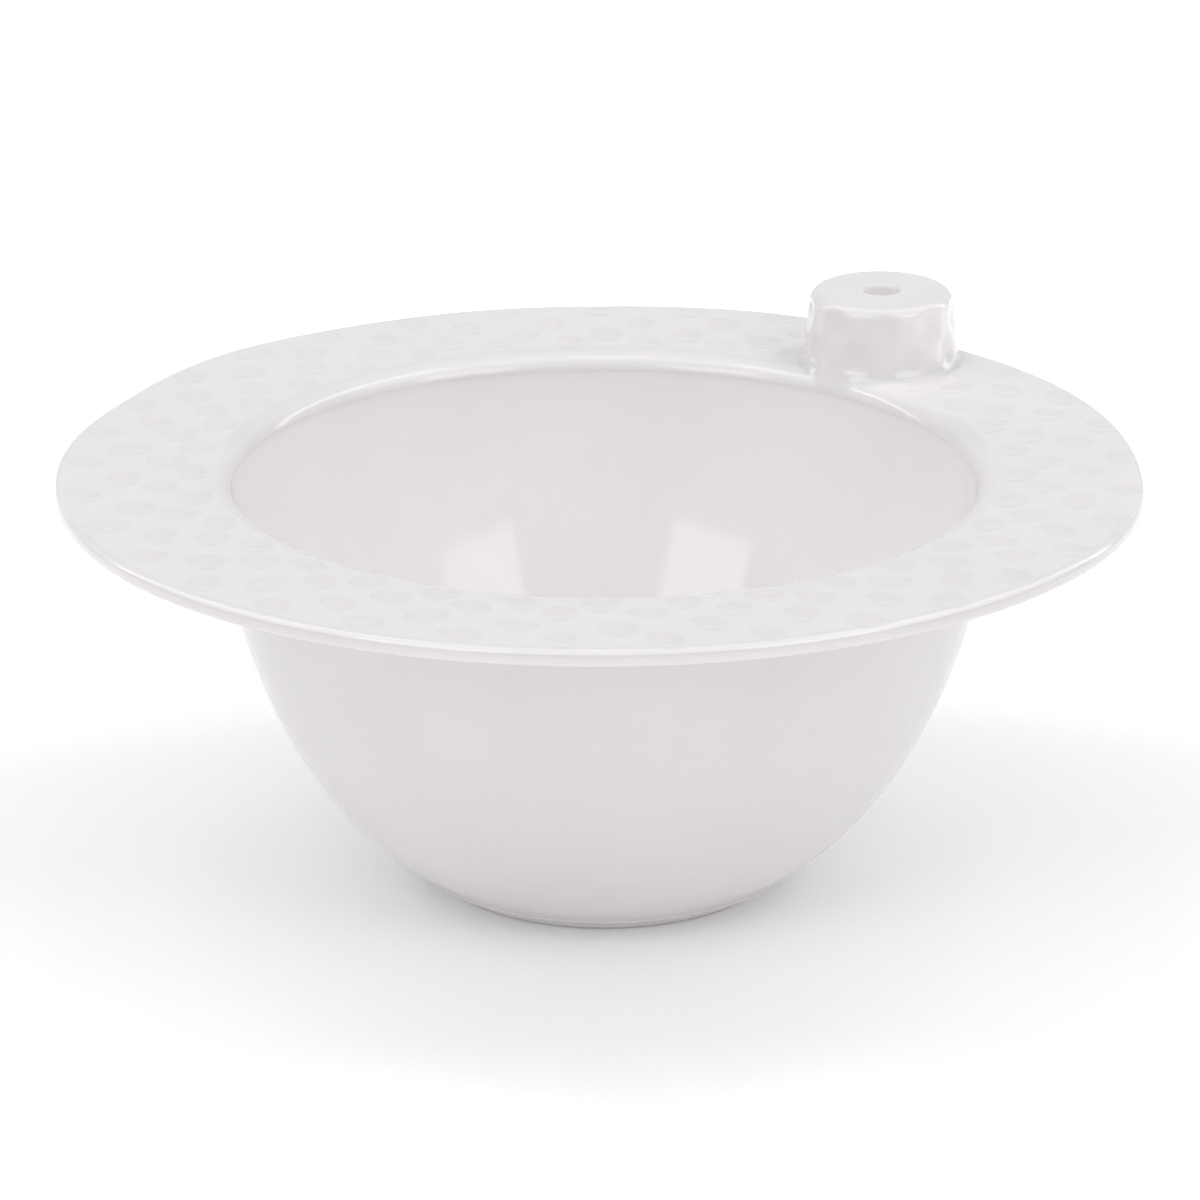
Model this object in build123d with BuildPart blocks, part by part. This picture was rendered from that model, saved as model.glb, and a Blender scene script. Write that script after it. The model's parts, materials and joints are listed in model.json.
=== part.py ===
"""Yarn bowl of white glazed ceramic, in millimetres.

The bowl is built from four clay members that are joined with slip and fired as one:
a deep round body, a wide flat rim laid on top of its wall, a foot ring under it, and
a small hollow post that stands on the rim.  The post has a bore in its crown, through
which the working end of the yarn is led down and out under the rim.

Frame: origin on the bowl's axis in the plane that the foot rests on, +Z up.
"""

import os
from math import cos, radians, sin

from build123d import *

# ---- driving dimensions -------------------------------------------------------------

RIM_TOP = 95.0  # height of the rim's upper face above the table
RIM_THICKNESS = 4.0
RIM_RADIUS = 120.0
RIM_EDGE_ROUND = 1.8  # rounding of the rim's outer edge, above and below
LIP_ROUND = 3.2  # rounding where the rim turns down into the bowl

# Both faces of the wall follow r = width * (1 - ((RIM_TOP - z) / depth) ** n) ** (1 / m).
OUTER_CURVE = dict(width=86.38, depth=99.20, n=1.66, m=2.74)
INNER_CURVE = dict(width=82.70, depth=86.50, n=1.29, m=4.10)
CURVE_POINTS = 14
FLARE_START = 86.0  # height where the outer wall begins to flare out under the rim
FLARE_REACH = 4.6  # how far the flare stands out from the wall
FLARE_END_DIRECTION = (1, 0.35)
BASE_EDGE_ROUND = 1.2

FOOT_HEIGHT = 3.3
FOOT_OUTER_RADIUS = 36.6  # at the table
FOOT_INNER_RADIUS = 31.0
FOOT_TAPER = 1.3  # the ring is this much wider on each side at its top
FOOT_EDGE_ROUND = 1.1

POST_ANGLE = 51.5  # degrees from +X towards +Y
POST_DISTANCE = 101.7  # from the bowl's axis to the post's
POST_HEIGHT = 16.5
POST_BASE_RADIUS = 17.9
POST_TOP_RADIUS = 16.2
POST_SHOULDER_ROUND = 3.2
POST_WALL = 6.6
POST_CROWN = 5.0  # thickness of the crown that the bore runs through
BORE_RADIUS = 3.9
BORE_MOUTH_ROUND = 0.9
EAR_MARGIN = 1.4  # the rim carries the post with this much clay to spare all round

# ---- worked out from them -----------------------------------------------------------

WALL_TOP = RIM_TOP - RIM_THICKNESS  # the wall ends under the rim
POST_X = POST_DISTANCE * cos(radians(POST_ANGLE))
POST_Y = POST_DISTANCE * sin(radians(POST_ANGLE))
CAVITY_RADIUS = POST_BASE_RADIUS - POST_WALL
CAVITY_TOP_RADIUS = POST_TOP_RADIUS - POST_WALL
CAVITY_HEIGHT = POST_HEIGHT - POST_CROWN
ON_RIM = (Align.CENTER, Align.CENTER, Align.MIN)


def wall_radius(z, width, depth, n, m):
    """Radius of a wall face at height z."""
    return width * (1 - ((RIM_TOP - z) / depth) ** n) ** (1 / m)


def wall_height(r, width, depth, n, m):
    """Height of a wall face at radius r."""
    return RIM_TOP - depth * (1 - (r / width) ** m) ** (1 / n)


OPENING_RADIUS = wall_radius(WALL_TOP, **INNER_CURVE)
FLOOR_TOP = wall_height(0, **INNER_CURVE)
FLARE_RADIUS = wall_radius(FLARE_START, **OUTER_CURVE) + FLARE_REACH


def outer_points():
    """Points up the outer face, from the edge of the base to the start of the flare."""
    step = (FLARE_START - FOOT_HEIGHT) / (CURVE_POINTS - 1)
    heights = [FOOT_HEIGHT + i * step for i in range(CURVE_POINTS)]
    return [(wall_radius(z, **OUTER_CURVE), z) for z in heights]


def inner_points():
    """Points down the inner face, from the opening to the middle of the floor."""
    step = 90 / (CURVE_POINTS - 1)
    radii = [OPENING_RADIUS * cos(radians(i * step)) for i in range(CURVE_POINTS - 1)]
    return [(r, wall_height(r, **INNER_CURVE)) for r in radii] + [(0, FLOOR_TOP)]


# ---- bowl body: wall and floor, turned in one piece -----------------------------------

with BuildPart() as bowl_body:
    with BuildSketch(Plane.XZ):
        with BuildLine():
            wall = Spline(*outer_points())
            flare = Spline(
                wall @ 1,
                (FLARE_RADIUS, WALL_TOP),
                tangents=(wall % 1, FLARE_END_DIRECTION),
            )
            Line(flare @ 1, (OPENING_RADIUS, WALL_TOP))
            Spline(*inner_points(), tangents=((0, -1), (-1, 0)))
            Polyline((0, FLOOR_TOP), (0, FOOT_HEIGHT), wall @ 0)
        make_face()
    revolve(axis=Axis.Z)
    base_edges = bowl_body.edges().filter_by(GeomType.CIRCLE).group_by(Axis.Z)[0]
    fillet(base_edges.sort_by(SortBy.RADIUS)[-1], radius=BASE_EDGE_ROUND)

bowl_body.part.label = "bowl_body"


# ---- rim: a flat ring on top of the wall, open under the post --------------------------

with BuildPart() as rim_flange:
    with BuildSketch(Plane.XY.offset(WALL_TOP)):
        with BuildLine():
            CenterArc((0, 0), RIM_RADIUS, 0, 360)
            CenterArc((POST_X, POST_Y), POST_BASE_RADIUS + EAR_MARGIN, 0, 360)
        make_hull()
    extrude(amount=RIM_THICKNESS)
    outer_edges = rim_flange.edges().filter_by(Plane.XY)
    fillet(outer_edges, radius=RIM_EDGE_ROUND)
    with Locations((0, 0, WALL_TOP)):
        Cylinder(OPENING_RADIUS, RIM_THICKNESS, align=ON_RIM, mode=Mode.SUBTRACT)
    upper_edges = rim_flange.edges().group_by(Axis.Z)[-1]
    fillet(upper_edges.sort_by_distance((0, 0, RIM_TOP))[0], radius=LIP_ROUND)
    with Locations((POST_X, POST_Y, WALL_TOP)):
        Cylinder(CAVITY_RADIUS, RIM_THICKNESS, align=ON_RIM, mode=Mode.SUBTRACT)

rim_flange.part.label = "rim_flange"


# ---- foot ring -----------------------------------------------------------------------

with BuildPart() as foot_ring:
    with BuildSketch(Plane.XZ) as foot_section:
        with BuildLine():
            Polyline(
                (FOOT_INNER_RADIUS, 0),
                (FOOT_OUTER_RADIUS, 0),
                (FOOT_OUTER_RADIUS + FOOT_TAPER, FOOT_HEIGHT),
                (FOOT_INNER_RADIUS - FOOT_TAPER, FOOT_HEIGHT),
                close=True,
            )
        make_face()
        fillet(foot_section.vertices().group_by(Axis.Y)[0], radius=FOOT_EDGE_ROUND)
    revolve(axis=Axis.Z)

foot_ring.part.label = "foot_ring"


# ---- post: a hollow dome-shouldered stub with the yarn bore in its crown ---------------

post_section_plane = Plane(
    origin=(POST_X, POST_Y, RIM_TOP), x_dir=(1, 0, 0), z_dir=(0, -1, 0)
)

with BuildPart() as yarn_post:
    with BuildSketch(post_section_plane) as post_section:
        with BuildLine():
            Polyline(
                (CAVITY_RADIUS, 0),
                (POST_BASE_RADIUS, 0),
                (POST_TOP_RADIUS, POST_HEIGHT),
                (BORE_RADIUS, POST_HEIGHT),
                (BORE_RADIUS, CAVITY_HEIGHT),
                (CAVITY_TOP_RADIUS, CAVITY_HEIGHT),
                close=True,
            )
        make_face()
        crown_corners = post_section.vertices().group_by(Axis.Y)[-1].sort_by(Axis.X)
        fillet(crown_corners[-1], radius=POST_SHOULDER_ROUND)
        fillet(crown_corners[0], radius=BORE_MOUTH_ROUND)
    revolve(axis=Axis((POST_X, POST_Y, 0), (0, 0, 1)))

yarn_post.part.label = "yarn_post"


# ---- one STEP file for each member -----------------------------------------------------

os.makedirs("parts", exist_ok=True)
export_step(bowl_body.part, "parts/bowl_body.step")
export_step(rim_flange.part, "parts/rim_flange.step")
export_step(foot_ring.part, "parts/foot_ring.step")
export_step(yarn_post.part, "parts/yarn_post.step")
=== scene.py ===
"""Looks of the yarn bowl: a glazed surface over each of its four CAD members.

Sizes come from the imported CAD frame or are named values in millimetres; the studio's
lamps and camera are placed in metres.  The four pieces are turned forms: a profile swept
round an axis, with the rim's pressed dimples, the post's dimples and the unevenness of
handwork carried by the mesh itself.
"""

import json
import math

import bmesh
import bpy
import numpy as np
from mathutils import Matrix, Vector


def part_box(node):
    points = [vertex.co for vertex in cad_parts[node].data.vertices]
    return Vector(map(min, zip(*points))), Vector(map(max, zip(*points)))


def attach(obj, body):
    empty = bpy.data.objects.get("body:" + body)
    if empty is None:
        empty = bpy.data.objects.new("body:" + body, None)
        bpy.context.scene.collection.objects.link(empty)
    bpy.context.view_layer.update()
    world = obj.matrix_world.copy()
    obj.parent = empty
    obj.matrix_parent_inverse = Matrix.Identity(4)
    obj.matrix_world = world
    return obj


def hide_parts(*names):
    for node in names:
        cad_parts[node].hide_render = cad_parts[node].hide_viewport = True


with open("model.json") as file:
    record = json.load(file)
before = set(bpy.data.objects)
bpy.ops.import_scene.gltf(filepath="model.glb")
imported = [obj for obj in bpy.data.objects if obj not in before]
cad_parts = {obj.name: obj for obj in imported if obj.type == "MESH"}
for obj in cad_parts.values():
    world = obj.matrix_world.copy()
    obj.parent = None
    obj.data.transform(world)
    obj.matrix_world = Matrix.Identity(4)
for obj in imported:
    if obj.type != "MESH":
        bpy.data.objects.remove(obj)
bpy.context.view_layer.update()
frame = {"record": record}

MM = 0.001
TAU = 2 * math.pi

# ---- sizes read from the CAD frame, in millimetres ------------------------------------


def node_box(node):
    """Lowest and highest corner of a CAD node, in millimetres."""
    low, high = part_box(node)
    return np.array(low) / MM, np.array(high) / MM


RIM_LOW, RIM_HIGH = node_box("rim_flange")
POST_LOW, POST_HIGH = node_box("yarn_post")
FOOT_LOW, FOOT_HIGH = node_box("foot_ring")
BODY_LOW, BODY_HIGH = node_box("bowl_body")

RIM_TOP = RIM_HIGH[2]
RIM_UNDER = RIM_LOW[2]
RIM_RADIUS = -RIM_LOW[0]
FLARE_RADIUS = BODY_HIGH[0]
BASE_HEIGHT = BODY_LOW[2]
FOOT_TOP_RADIUS = FOOT_HIGH[0]
POST_CENTRE = (POST_LOW[:2] + POST_HIGH[:2]) / 2
POST_BASE_RADIUS = (POST_HIGH[0] - POST_LOW[0]) / 2
POST_TOP = POST_HIGH[2]
POST_ANGLE = math.atan2(POST_CENTRE[1], POST_CENTRE[0])
BORE = next(m for m in frame["record"]["mounts"] if m["name"] == "yarn_bore")
BORE_RADIUS = BORE["dims"]["r_mm"]

# ---- form ---------------------------------------------------------------------------

# Both faces of the wall follow r = width * (1 - ((RIM_TOP - z) / depth) ** n) ** (1 / m).
OUTER_CURVE = dict(width=86.38, depth=99.20, n=1.66, m=2.74)
INNER_CURVE = dict(width=82.70, depth=86.50, n=1.29, m=4.10)
FLARE_START = 86.0
BASE_EDGE = 1.2
BASE_STEP = 0.5  # from the base's rounded edge to the next ring inwards

LIP_WIDTH = 5.6  # the lip is a quarter of an ellipse, this wide and LIP_DEEP deep
LIP_DEEP = 3.9
EDGE_ROUND = 1.8
EAR_RADIUS = 19.3  # the rim widens to this radius round the post

FOOT_TAPER = 1.3
FOOT_WIDTH = 5.6  # of the ring, where it rests
FOOT_EDGE = 1.1
FOOT_BLEND = (0.5, 0.2)  # the sides meet the rounded edges this far out and up

POST_TAPER = 1.7  # the wall leans in by this much up to the crown
POST_HEIGHT = POST_TOP - RIM_TOP
POST_SHOULDER = 2.8
POST_WALL = 6.6
POST_CROWN = 5.0
BORE_MOUTH = 0.9
SKIRT_MARGIN = 0.5  # the skirt stops this far inside the rim's edge
SKIRT_WIDTH = 1.4  # the glaze runs out over the rim in a small fillet
SKIRT_SINK = 0.3  # the post's joint face is sunk into the rim by this much outside
CAVITY_SINK = 0.05  # and by this much at the cavity

# Rings of dimples on the rim: radius, and the phase as a share of the spacing.
RIM_RINGS = ((114.7, 0.34), (105.9, 0.86), (97.7, 0.24), (91.4, 0.71))
RING_COUNT = 33
DIMPLE_RADIUS = 4.6
DIMPLE_DEPTH = 0.64
DIMPLE_STRETCH = 1.2  # the most that a dimple is lengthened, and narrowed by as much
POST_CLEAR = 4.0  # dimples centred nearer to the post than this are shallower
SKIRT_CLEAR = 1.5  # and all of them fade out over this width round its skirt
POST_RINGS = ((11.4, 0.75), (4.6, 0.25))  # height over the rim, phase
POST_RING_COUNT = 9
POST_DIMPLE_RADIUS = 4.5
POST_DIMPLE_DEPTH = 0.85

BARE_HEIGHT = 0.5  # the glaze is wiped off the foot up to here

RIM_OFF_CENTRE = -0.9  # the rim's outline lies this far to the left of the well

# Where the rim is not quite round or level: angle and spread in degrees, rise and reach.
UNEVENNESS = (
    (70, 13, 0.75, 0.0),
    (104, 9, 0.25, 0.0),
    (137, 8, 0.35, 0.2),
    (156, 8, -0.45, -0.55),
    (212, 24, -0.55, 0.65),
    (342, 13, -0.4, 0.45),
    (5, 9, 0.0, -0.6),
    (30, 9, 0.25, 0.15),
)

# Points round each piece, and rows of points across the parts of the rim.
RIM_AROUND = 990
BODY_AROUND = 288
POST_AROUND = 240
HOLE_AROUND = 96
RIM_TOP_ROWS = 50
RIM_UNDER_ROWS = 13
LIP_ROWS = 15
EDGE_ROWS = 8  # in each half of the rim's rounded edge
PRESSED_LIP_ROWS = 8  # rows of the lip that the innermost dimples reach
PRESSED_EDGE_ROWS = 2  # rows of the edge that the outermost dimples reach

CREASE = math.radians(40)  # edges sharper than this stay crisp

SEED = 7
rng = np.random.default_rng(SEED)


# ---- shared maths -------------------------------------------------------------------


def smooth(x):
    """Smooth step from 0 to 1."""
    x = np.clip(x, 0, 1)
    return x * x * (3 - 2 * x)


def wall_radius(z, width, depth, n, m):
    """Radius of a wall face at height z."""
    return width * (1 - ((RIM_TOP - z) / depth) ** n) ** (1 / m)


def wall_height(r, width, depth, n, m):
    """Height of a wall face at radius r."""
    return RIM_TOP - depth * (1 - (r / width) ** m) ** (1 / n)


OPENING_RADIUS = wall_radius(RIM_UNDER, **INNER_CURVE)
LIP_START = OPENING_RADIUS + LIP_WIDTH


def arc(centre, radius, start, end, steps):
    """Points (r, z) along an arc of the profile; angles in degrees from +r towards +z."""
    t = np.radians(np.linspace(start, end, steps))
    return np.c_[centre[0] + radius * np.cos(t), centre[1] + radius * np.sin(t)]


def line(start, end, steps):
    """Points (r, z) along a straight stretch of the profile, its end left out."""
    t = np.linspace(0, 1, steps, endpoint=False)[:, None]
    return (1 - t) * np.array(start) + t * np.array(end)


def turned_object(name, rows, close_profile=True, poles=()):
    """A mesh from rings of points, rows[i][j], joined by quads; poles cap the end rings."""
    count, around = rows.shape[:2]
    vertices = rows.reshape(-1, 3)
    i = np.arange(count if close_profile else count - 1)[:, None]
    j = np.arange(around)[None, :]
    a = i * around + j
    b = i * around + (j + 1) % around
    c = ((i + 1) % count) * around + (j + 1) % around
    d = ((i + 1) % count) * around + j
    faces = np.stack([a, b, c, d], axis=-1).reshape(-1, 4).tolist()
    for ring, pole in poles:
        tip = len(vertices)
        vertices = np.vstack([vertices, pole])
        k = (ring % count) * around + np.arange(around)
        fan = zip(k, np.roll(k, -1))
        faces += [[tip, q, p] if ring == 0 else [tip, p, q] for p, q in fan]
    mesh = bpy.data.meshes.new(name)
    mesh.from_pydata((vertices * MM).tolist(), [], faces)
    mesh.validate()
    mesh.update()
    obj = bpy.data.objects.new(name, mesh)
    bpy.context.scene.collection.objects.link(obj)
    return obj


def turn(profile, around, centre=(0.0, 0.0)):
    """Rings of points from a profile of (r, z) turned about a vertical axis."""
    theta = np.linspace(0, TAU, around, endpoint=False)
    r, z = profile[:, :1], profile[:, 1:]
    x = centre[0] + r * np.cos(theta)
    y = centre[1] + r * np.sin(theta)
    return np.stack([x, y, z + 0 * theta], axis=-1)


def finish_mesh(obj):
    """Turn the faces outwards and shade smooth, with creases where the form turns sharply."""
    mesh = obj.data
    bm = bmesh.new()
    bm.from_mesh(mesh)
    bmesh.ops.recalc_face_normals(bm, faces=bm.faces)
    bm.to_mesh(mesh)
    bm.free()
    mesh.shade_smooth()
    mesh.set_sharp_from_angle(angle=CREASE)


# ---- dimples ------------------------------------------------------------------------


def hollow(along, across):
    """Depth of one dimple, 1 at its middle, from coordinates that are 1 at its edge."""
    return np.maximum(1 - along**2 - across**2, 0) ** 1.5


def rim_spots():
    """The rim's dimples, as (x, y, size, depth, stretch, turn)."""
    pitch = TAU / RING_COUNT
    for radius, phase in RIM_RINGS:
        for k in range(RING_COUNT):
            angle = (k + phase) * pitch + rng.normal(0, 0.35) / radius
            r = radius + rng.normal(0, 0.3)
            size = DIMPLE_RADIUS * rng.uniform(0.9, 1.06)
            deep = DIMPLE_DEPTH * rng.uniform(0.75, 1.15)
            stretch = rng.uniform(1.0, DIMPLE_STRETCH)
            turned = rng.uniform(0, TAU)
            yield r * math.cos(angle), r * math.sin(angle), size, deep, stretch, turned


def rim_dimples(x, y):
    """Depth of the rim's dimples at (x, y), kept clear of the post's foot."""
    depth = np.zeros_like(x)
    for cx, cy, size, deep, stretch, turned in rim_spots():
        away = math.hypot(cx - POST_CENTRE[0], cy - POST_CENTRE[1])
        deep *= smooth((away - POST_BASE_RADIUS) / POST_CLEAR)
        reach = DIMPLE_STRETCH * size
        near = (np.abs(x - cx) < reach) & (np.abs(y - cy) < reach)
        dx, dy = (x[near] - cx) / size, (y[near] - cy) / size
        along = (dx * math.cos(turned) + dy * math.sin(turned)) / stretch
        across = (dy * math.cos(turned) - dx * math.sin(turned)) * stretch
        depth[near] = np.maximum(depth[near], deep * hollow(along, across))
    clear = np.hypot(x - POST_CENTRE[0], y - POST_CENTRE[1])
    return depth * smooth((clear - POST_BASE_RADIUS - SKIRT_WIDTH) / SKIRT_CLEAR)


# ---- rim ----------------------------------------------------------------------------


def swell(theta):
    """Rise and reach of the rim's edge at an angle, from the hand-made unevenness."""
    rise = np.zeros_like(theta)
    reach = np.zeros_like(theta)
    for angle, spread, up, out in UNEVENNESS:
        away = (np.degrees(theta) - angle + 180) % 360 - 180
        bump = np.exp(-0.5 * (away / spread) ** 2)
        rise += up * bump
        reach += out * bump
    return rise, reach


def rim_edge(theta):
    """Outer radius of the rim: a circle, widened round the post, and uneven."""
    distance = math.hypot(*POST_CENTRE)
    contact = math.acos((RIM_RADIUS - EAR_RADIUS) / distance)
    away = np.abs((theta - POST_ANGLE + math.pi) % TAU - math.pi)
    tangent = RIM_RADIUS / np.cos(np.clip(contact - away, 0, contact))
    offset = distance * np.sin(away)
    ear = distance * np.cos(away) + np.sqrt(np.maximum(EAR_RADIUS**2 - offset**2, 0))
    edge = np.where(away < contact, np.minimum(tangent, np.maximum(ear, RIM_RADIUS)), RIM_RADIUS)
    return edge + RIM_OFF_CENTRE * np.cos(theta) + swell(theta)[1]


def drape(x, y):
    """How far the top face of the rim stands over its nominal height at (x, y)."""
    r = np.hypot(x, y)
    theta = np.arctan2(y, x)
    rise = swell(theta)[0] * smooth((r - LIP_START) / (RIM_RADIUS - LIP_START))
    into_lip = np.clip((LIP_START - r) / LIP_WIDTH, 0, 1)
    lip_drop = LIP_DEEP * (1 - np.sqrt(1 - into_lip**2))
    into_edge = np.clip(r - rim_edge(theta) + EDGE_ROUND, 0, EDGE_ROUND)
    edge_drop = EDGE_ROUND - np.sqrt(EDGE_ROUND**2 - into_edge**2)
    return rise - lip_drop - edge_drop


def make_rim():
    """The flat rim: lip, dimpled top, rounded edge and smooth underside."""
    theta = np.linspace(0, TAU, RIM_AROUND, endpoint=False)
    edge = rim_edge(theta)
    rise = swell(theta)[0]
    rows = []

    def add(r, z, lift):
        """Add a ring at radius r and height z, lifted by a share of the rim's unevenness."""
        r = np.broadcast_to(r, theta.shape)
        rows.append(np.stack([r * np.cos(theta), r * np.sin(theta), z + lift * rise], axis=-1))

    for across, up in arc((0, 0), 1, 180, 90, LIP_ROWS):
        add(LIP_START + LIP_WIDTH * across, RIM_TOP - LIP_DEEP * (1 - up), 0.0)
    first = len(rows) - 1 - PRESSED_LIP_ROWS
    for s in np.linspace(0, 1, RIM_TOP_ROWS)[1:]:
        r = LIP_START + s * (edge - EDGE_ROUND - LIP_START)
        add(r, RIM_TOP, smooth(s))
    last = len(rows) + PRESSED_EDGE_ROWS
    for dr, z in arc((0, RIM_TOP - EDGE_ROUND), EDGE_ROUND, 90, 0, EDGE_ROWS)[1:]:
        add(edge - EDGE_ROUND + dr, z, 1.0)
    for dr, z in arc((0, RIM_UNDER + EDGE_ROUND), EDGE_ROUND, 0, -90, EDGE_ROWS):
        add(edge - EDGE_ROUND + dr, z, 1.0)
    for s in np.linspace(1, 0, RIM_UNDER_ROWS)[1:]:
        r = FLARE_RADIUS + s * (edge - EDGE_ROUND - FLARE_RADIUS)
        add(r, RIM_UNDER, smooth(s))
    add(OPENING_RADIUS, RIM_UNDER, 0.0)
    rows = np.array(rows)
    rows[first:last, :, 2] -= rim_dimples(rows[first:last, :, 0], rows[first:last, :, 1])
    return turned_object("rim_glazed", rows)


# ---- bowl body ----------------------------------------------------------------------


def inner_face():
    """Profile of the well, from close to its floor's centre up to the opening."""
    across = np.radians(np.linspace(0, 88, 70))
    r = OPENING_RADIUS * np.cos(across)
    return np.c_[r, wall_height(r, **INNER_CURVE)][::-1]


def flare_face():
    """Profile of the quarter ellipse under the rim, from the rim down to the wall."""
    start = wall_radius(FLARE_START, **OUTER_CURVE)
    t = np.linspace(0, 1, 13)
    return np.c_[
        start + (FLARE_RADIUS - start) * (1 - np.cos(t * math.pi / 2)),
        FLARE_START + (RIM_UNDER - FLARE_START) * np.sin(t * math.pi / 2),
    ][::-1]


def outer_face():
    """Profile of the wall's outside and the flat base, from the flare to the axis."""
    z = np.linspace(FLARE_START, BASE_HEIGHT + BASE_EDGE, 60)[1:]
    wall = np.c_[wall_radius(z, **OUTER_CURVE), z]
    edge_r = wall[-1][0] - BASE_EDGE
    edge = arc((edge_r, BASE_HEIGHT + BASE_EDGE), BASE_EDGE, -20, -90, 6)
    base = line((edge_r - BASE_STEP, BASE_HEIGHT), (0, BASE_HEIGHT), 14)
    return np.vstack([wall, edge, base])


def make_body():
    """The well: floor and inner face, the joint face under the rim, flare and outer face."""
    floor = wall_height(0.0, **INNER_CURVE)
    profile = np.vstack([inner_face(), flare_face(), outer_face()])
    poles = ((0, (0, 0, floor)), (-1, (0, 0, BASE_HEIGHT)))
    return turned_object("bowl_glazed", turn(profile, BODY_AROUND), False, poles)


# ---- foot ring ----------------------------------------------------------------------


def make_foot():
    """The ring the bowl stands on, its resting edges rounded."""
    outer = FOOT_TOP_RADIUS - FOOT_TAPER
    inner = outer - FOOT_WIDTH
    lean = math.degrees(math.atan(FOOT_TAPER / FOOT_HIGH[2]))
    out, up = FOOT_BLEND
    profile = np.vstack(
        [
            line((inner - FOOT_TAPER, FOOT_HIGH[2]), (FOOT_TOP_RADIUS, FOOT_HIGH[2]), 4),
            line((FOOT_TOP_RADIUS, FOOT_HIGH[2]), (outer + out, FOOT_EDGE + up), 5),
            arc((outer - FOOT_EDGE, FOOT_EDGE), FOOT_EDGE, lean, -90, 9),
            arc((inner + FOOT_EDGE, FOOT_EDGE), FOOT_EDGE, -90, -180 - lean, 9),
            line((inner - out, FOOT_EDGE + up), (inner - FOOT_TAPER, FOOT_HIGH[2]), 5),
        ]
    )
    return turned_object("foot_glazed", turn(profile, BODY_AROUND))


# ---- post ---------------------------------------------------------------------------


def post_wall(h):
    """Radius of the post's flank at height h over the rim."""
    return POST_BASE_RADIUS - POST_TAPER * h / POST_HEIGHT


SHOULDER_RADIUS = post_wall(POST_HEIGHT - POST_SHOULDER) - POST_SHOULDER


def post_skirt():
    """Profile of the small fillet where the post's glaze meets the rim."""
    t = np.radians(np.linspace(0, 84, 9))
    return np.c_[
        POST_BASE_RADIUS + SKIRT_WIDTH * (1 - np.sin(t)),
        SKIRT_WIDTH * (1 - np.cos(t)),
    ]


def post_flank():
    """Profile of the leaning wall and the rounded shoulder over it."""
    rise = np.linspace(SKIRT_WIDTH, POST_HEIGHT - POST_SHOULDER, 34)[1:]
    centre = (SHOULDER_RADIUS, POST_HEIGHT - POST_SHOULDER)
    return np.vstack([np.c_[post_wall(rise), rise], arc(centre, POST_SHOULDER, 6, 90, 14)])


def post_inside():
    """Profile of the crown's top, the bore and its mouth, the cavity and the joint face."""
    cavity_top = POST_HEIGHT - POST_CROWN
    roof_radius = POST_BASE_RADIUS - POST_TAPER - POST_WALL
    foot_radius = POST_BASE_RADIUS - POST_WALL
    mouth = (BORE_RADIUS + BORE_MOUTH, POST_HEIGHT - BORE_MOUTH)
    return np.vstack(
        [
            line((SHOULDER_RADIUS, POST_HEIGHT), (mouth[0], POST_HEIGHT), 14)[1:],
            arc(mouth, BORE_MOUTH, 90, 180, 8),
            line((BORE_RADIUS, mouth[1]), (BORE_RADIUS, cavity_top), 6)[1:],
            line((BORE_RADIUS, cavity_top), (roof_radius, cavity_top), 6),
            line((roof_radius, cavity_top), (foot_radius, -CAVITY_SINK), 16),
            (foot_radius, -CAVITY_SINK),
            (POST_BASE_RADIUS + SKIRT_WIDTH, -SKIRT_SINK),
        ]
    )


def make_post():
    """The hollow post: skirt over the rim, dimpled wall, crown, bore and cavity."""
    skirt = post_skirt()
    flank = post_flank()
    profile = np.vstack([skirt, flank, post_inside()])
    rows = turn(profile, POST_AROUND, POST_CENTRE)
    outside = slice(0, len(skirt) + len(flank))
    press_post(rows[outside], profile[outside, 1])
    draped = rows[: len(skirt)]
    for row in (*draped, rows[-1]):
        keep_on_rim(row)
    hold = 1 - smooth(skirt[:, 1:] / SKIRT_WIDTH)
    draped[:, :, 2] += drape(draped[:, :, 0], draped[:, :, 1]) * hold
    rows[-1, :, 2] += drape(rows[-1, :, 0], rows[-1, :, 1])
    rows[:, :, 2] += RIM_TOP
    return turned_object("post_glazed", rows)


def keep_on_rim(row):
    """Draw a ring of the skirt in where it would run over the rim's edge."""
    r = np.hypot(row[:, 0], row[:, 1])
    limit = rim_edge(np.arctan2(row[:, 1], row[:, 0])) - SKIRT_MARGIN
    row[:, :2] *= np.minimum(1, limit / r)[:, None]


def press_post(rows, heights):
    """Press two staggered rings of dimples into the post's flank."""
    theta = np.linspace(0, TAU, POST_AROUND, endpoint=False)
    dx = rows[:, :, 0] - POST_CENTRE[0]
    dy = rows[:, :, 1] - POST_CENTRE[1]
    radius = np.hypot(dx, dy)
    depth = np.zeros_like(radius)
    pitch = TAU / POST_RING_COUNT
    for level, phase in POST_RINGS:
        for k in range(POST_RING_COUNT):
            angle = (k + phase + rng.normal(0, 0.05)) * pitch
            size = POST_DIMPLE_RADIUS * rng.uniform(0.92, 1.08)
            up = heights[:, None] - level - rng.normal(0, 0.25)
            round_by = ((theta - angle + math.pi) % TAU - math.pi)[None, :]
            deep = POST_DIMPLE_DEPTH * rng.uniform(0.75, 1.2)
            pressed = deep * hollow(up / size, round_by * POST_BASE_RADIUS / size)
            depth = np.maximum(depth, pressed)
    scale = 1 - depth / radius
    rows[:, :, 0] = POST_CENTRE[0] + dx * scale
    rows[:, :, 1] = POST_CENTRE[1] + dy * scale


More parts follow.
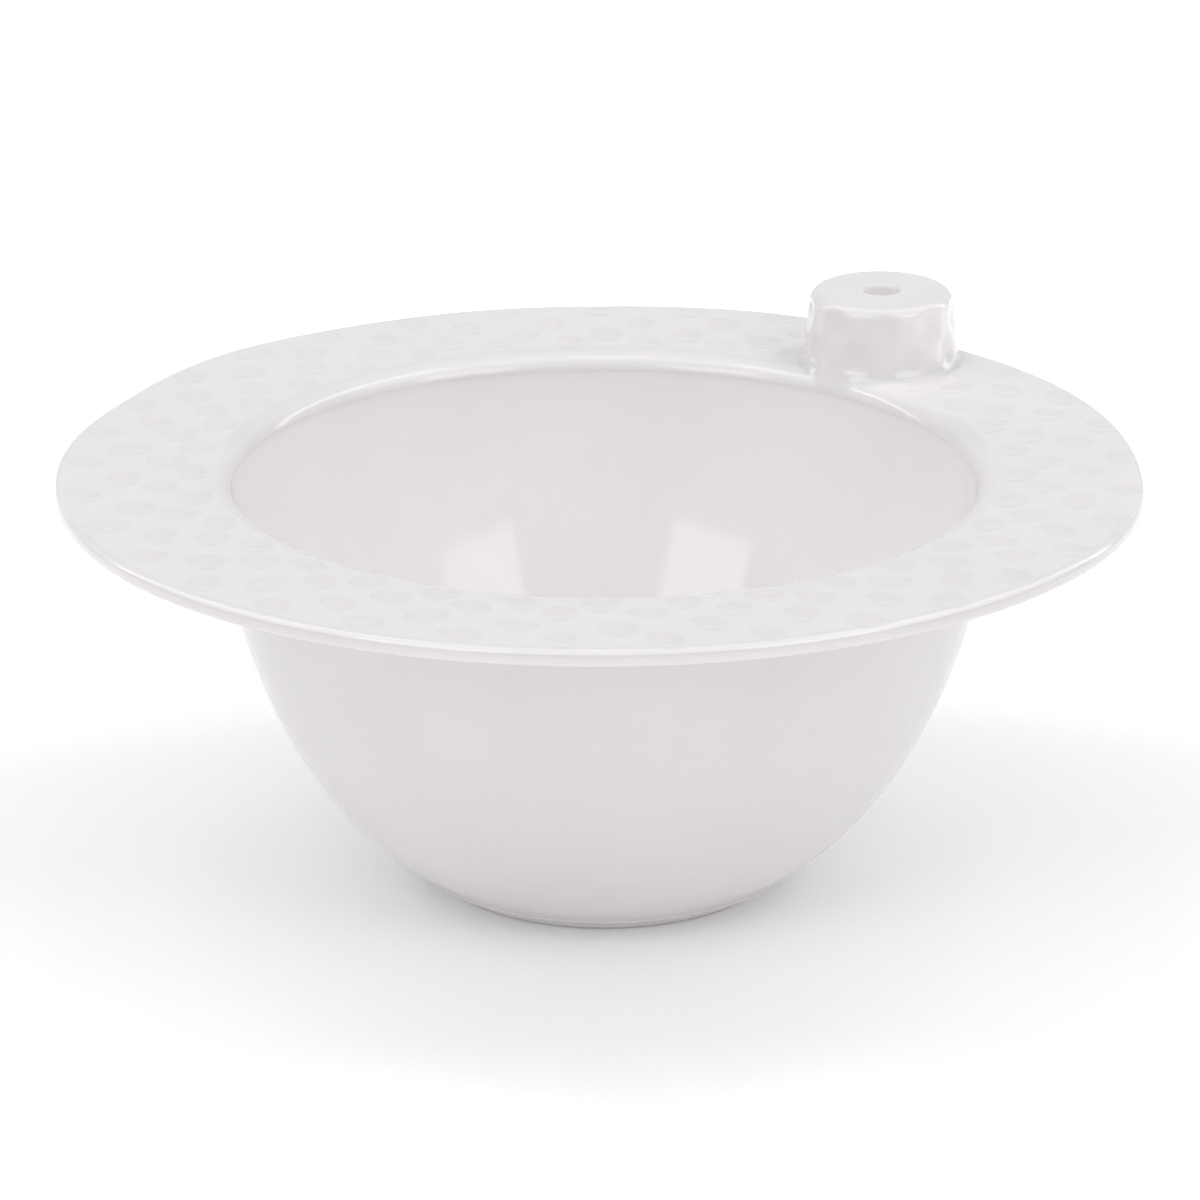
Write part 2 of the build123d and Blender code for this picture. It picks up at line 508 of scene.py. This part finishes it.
def bore_rim(rim):
    """Cut the hole in the rim that opens the post's cavity downwards."""
    radius = POST_BASE_RADIUS - POST_WALL
    past = RIM_TOP - RIM_UNDER
    levels = (RIM_UNDER - past, RIM_TOP + past)
    ends = [(*POST_CENTRE, z) for z in levels]
    rings = turn(np.array([(radius, z) for z in levels]), HOLE_AROUND, POST_CENTRE)
    cutter = turned_object("cutter", rings, False, ((0, ends[0]), (-1, ends[1])))
    cut = rim.modifiers.new("hole", "BOOLEAN")
    cut.object = cutter
    cut.solver = "EXACT"
    graph = bpy.context.evaluated_depsgraph_get()
    rim.data = bpy.data.meshes.new_from_object(rim.evaluated_get(graph))
    rim.modifiers.clear()
    bpy.data.objects.remove(cutter)


# ---- glaze --------------------------------------------------------------------------

WHITE = (0.955, 0.928, 0.928)
SHADED_GREY = (0.79, 0.766, 0.766)  # painted shade: a darker copy of the white glaze for faces that look outwards or down, fitted to the photograph's darker outside
GLAZE_ROUGHNESS = 0.09
SHADE_FROM = 0.5  # a face gets the painted shade where its outward less its upward lean passes this


def new_material(name):
    """A new material, with its nodes, links and Principled shader."""
    material = bpy.data.materials.new(name)
    material.use_nodes = True
    nodes = material.node_tree.nodes
    return material, nodes, material.node_tree.links, nodes["Principled BSDF"]


def two_tones(nodes, links, factor, dark, light):
    """Colour that runs from dark to light over the middle of a noise factor."""
    ramp = nodes.new("ShaderNodeValToRGB")
    for stop, (position, colour) in zip(ramp.color_ramp.elements, (dark, light)):
        stop.position = position
        stop.color = (*colour, 1)
    links.new(factor, ramp.inputs["Fac"])
    return ramp.outputs["Color"]


def noise_node(nodes, links, coordinate, scale, detail):
    """A noise texture in object space; scale in features per metre."""
    node = nodes.new("ShaderNodeTexNoise")
    node.inputs["Scale"].default_value = scale
    node.inputs["Detail"].default_value = detail
    links.new(coordinate, node.inputs["Vector"])
    return node


def glaze(name, clay):
    """Glazed porcelain: a faintly clouded, translucent white with a barely uneven gloss."""
    material, nodes, links, shader = new_material(name)
    place = nodes.new("ShaderNodeTexCoord").outputs["Object"]
    cloud = noise_node(nodes, links, place, 38.0, 3.0)
    shade = tuple(c * 0.975 for c in clay)
    tint = two_tones(nodes, links, cloud.outputs["Fac"], (0.3, shade), (0.7, clay))
    links.new(tint, shader.inputs["Base Color"])
    pool = noise_node(nodes, links, place, 90.0, 2.0)
    gloss = nodes.new("ShaderNodeMapRange")
    gloss.inputs["To Min"].default_value = GLAZE_ROUGHNESS * 0.8
    gloss.inputs["To Max"].default_value = GLAZE_ROUGHNESS * 1.3
    links.new(pool.outputs["Fac"], gloss.inputs["Value"])
    links.new(gloss.outputs["Result"], shader.inputs["Roughness"])
    ripple = noise_node(nodes, links, place, 160.0, 2.0)
    bump = nodes.new("ShaderNodeBump")
    bump.inputs["Strength"].default_value = 0.06
    bump.inputs["Distance"].default_value = 0.0006
    links.new(ripple.outputs["Fac"], bump.inputs["Height"])
    links.new(bump.outputs["Normal"], shader.inputs["Normal"])
    shader.inputs["IOR"].default_value = 1.5
    shader.inputs["Subsurface Weight"].default_value = 0.15
    shader.inputs["Subsurface Radius"].default_value = (0.004, 0.0035, 0.003)
    shader.inputs["Subsurface Scale"].default_value = 1.0
    return material


def bare_clay(name):
    """Fired clay with no glaze: matt, greyer and finely grained."""
    material, nodes, links, shader = new_material(name)
    place = nodes.new("ShaderNodeTexCoord").outputs["Object"]
    speck = noise_node(nodes, links, place, 900.0, 4.0)
    dark = (0.35, (0.6, 0.57, 0.565))
    light = (0.65, (0.7, 0.67, 0.665))
    tint = two_tones(nodes, links, speck.outputs["Fac"], dark, light)
    links.new(tint, shader.inputs["Base Color"])
    grain = nodes.new("ShaderNodeBump")
    grain.inputs["Strength"].default_value = 0.4
    grain.inputs["Distance"].default_value = 0.0002
    links.new(speck.outputs["Fac"], grain.inputs["Height"])
    links.new(grain.outputs["Normal"], shader.inputs["Normal"])
    shader.inputs["Roughness"].default_value = 0.8
    return material


def paint_shade_outside(piece, material):
    """Paint shade on the faces that look outwards or down, with the greyer copy of the glaze."""
    piece.data.materials.append(material)
    for face in piece.data.polygons:
        outwards = face.normal.xy.dot(face.center.xy.normalized())
        if outwards - face.normal.z > SHADE_FROM:
            face.material_index = 1


def wipe_foot(foot, material):
    """Leave the ring's resting face without glaze."""
    foot.data.materials.append(material)
    for face in foot.data.polygons:
        if face.center.z < BARE_HEIGHT * MM:
            face.material_index = 1


# ---- build --------------------------------------------------------------------------

body = make_body()
rim = make_rim()
bore_rim(rim)
foot = make_foot()
post = make_post()

white_glaze = glaze("white_glaze", WHITE)
# painted shade: the same glaze, darker, for the bowl's outside and the rim's edge and underside
painted_shade_glaze = glaze("painted_shade_glaze", SHADED_GREY)
for piece, node in (
    (body, "bowl_body"),
    (rim, "rim_flange"),
    (foot, "foot_ring"),
    (post, "yarn_post"),
):
    finish_mesh(piece)
    piece.data.materials.append(white_glaze)
    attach(piece, "root")
    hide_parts(node)
wipe_foot(foot, bare_clay("bare_clay"))
# paint shade on the faces that look outwards or down
for piece in (body, rim):
    paint_shade_outside(piece, painted_shade_glaze)


# ---- studio, in metres --------------------------------------------------------------

FLOOR_REACH = 6.0
GLOW_RANGE = (0.03, 0.42)  # distance from the bowl's axis over which the glow grows
GLOW = (0.09, 0.48)  # the floor's emission at the ends of that range, for a white ground
BOWL_MIDDLE = (0, 0, 0.06)
COOL = (0.88, 0.93, 1.0)


def aim(obj, target):
    """Point an object's -Z axis at a place."""
    direction = Vector(target) - obj.location
    obj.rotation_euler = direction.to_track_quat("-Z", "Y").to_euler()


def make_floor():
    """A plain pale floor that runs out of sight."""
    mesh = bpy.data.meshes.new("floor")
    far = FLOOR_REACH
    corners = [(-far, -far, 0), (far, -far, 0), (far, far, 0), (-far, far, 0)]
    mesh.from_pydata(corners, [], [(0, 1, 2, 3)])
    mesh.materials.append(floor_white())
    floor = bpy.data.objects.new("floor", mesh)
    bpy.context.scene.collection.objects.link(floor)


def floor_white():
    """Matt white that glows a little, and more with distance from the bowl."""
    material, nodes, links, shader = new_material("floor_white")
    shader.inputs["Base Color"].default_value = (0.97, 0.97, 0.97, 1)
    shader.inputs["Roughness"].default_value = 0.9
    shader.inputs["Specular IOR Level"].default_value = 0.1
    shader.inputs["Emission Color"].default_value = (1, 1, 1, 1)
    place = nodes.new("ShaderNodeTexCoord").outputs["Object"]
    distance = nodes.new("ShaderNodeVectorMath")
    distance.operation = "LENGTH"
    links.new(place, distance.inputs[0])
    glow = nodes.new("ShaderNodeMapRange")
    for socket, value in zip(("From Min", "From Max", "To Min", "To Max"), GLOW_RANGE + GLOW):
        glow.inputs[socket].default_value = value
    links.new(distance.outputs["Value"], glow.inputs["Value"])
    links.new(glow.outputs["Result"], shader.inputs["Emission Strength"])
    return material


def add_softbox(name, place, target, size, power, colour=(1, 1, 1)):
    """A rectangular lamp that points at a place; sizes in metres, power in watts."""
    light = bpy.data.lights.new(name, "AREA")
    light.shape = "RECTANGLE"
    light.size, light.size_y = size
    light.energy = power
    light.color = colour
    obj = bpy.data.objects.new(name, light)
    obj.location = place
    bpy.context.scene.collection.objects.link(obj)
    aim(obj, target)


def make_world(strength):
    """An even white surround."""
    world = bpy.data.worlds.new("studio")
    world.use_nodes = True
    background = world.node_tree.nodes["Background"]
    background.inputs["Color"].default_value = (1, 1, 1, 1)
    background.inputs["Strength"].default_value = strength
    bpy.context.scene.world = world


CAMERA_SIDE = -1.0 * MM  # the camera stands this far to the left of the bowl's axis
CAMERA_RISE = 18.5  # degrees over the rim's plane
CAMERA_DIP = 0.825  # degrees that it looks below the rim, to centre the bowl
CAMERA_DISTANCE = 1.8936  # metres from the rim's middle


def make_camera():
    """Camera on the bowl's front, looking down at the rim."""
    elevation = math.radians(CAMERA_RISE)
    rim_middle = (RIM_TOP + RIM_UNDER) / 2 * MM
    data = bpy.data.cameras.new("camera")
    data.lens = 257.5
    data.sensor_width = 36.0
    data.clip_end = 30.0
    camera = bpy.data.objects.new("camera", data)
    camera.location = (
        CAMERA_SIDE,
        -CAMERA_DISTANCE * math.cos(elevation),
        rim_middle + CAMERA_DISTANCE * math.sin(elevation),
    )
    camera.rotation_euler = (math.radians(90 - CAMERA_RISE - CAMERA_DIP), 0, 0)
    bpy.context.scene.collection.objects.link(camera)
    bpy.context.scene.camera = camera


make_camera()
make_floor()
make_world(0.29)
add_softbox("left_box", (-0.85, 0.36, 0.84), BOWL_MIDDLE, (0.17, 1.5), 2.2)
add_softbox("right_box", (0.86, 0.5, 0.74), BOWL_MIDDLE, (0.17, 1.5), 2.2)
for side in (-1, 1):
    add_softbox("top_box", (side * 0.62, 0.1, 1.5), BOWL_MIDDLE, (0.85, 1.5), 3.9)
add_softbox("left_front_box", (-1.25, -1.57, 1.3), BOWL_MIDDLE, (1.2, 1.3), 11.3)
add_softbox("right_front_box", (1.48, -1.36, 1.3), BOWL_MIDDLE, (1.2, 1.3), 11.3)
add_softbox("back_box", (0.0, 2.2, 0.55), (0, 0, 0.3), (3.2, 0.9), 3.8, COOL)
bpy.context.scene.view_settings.view_transform = "Standard"
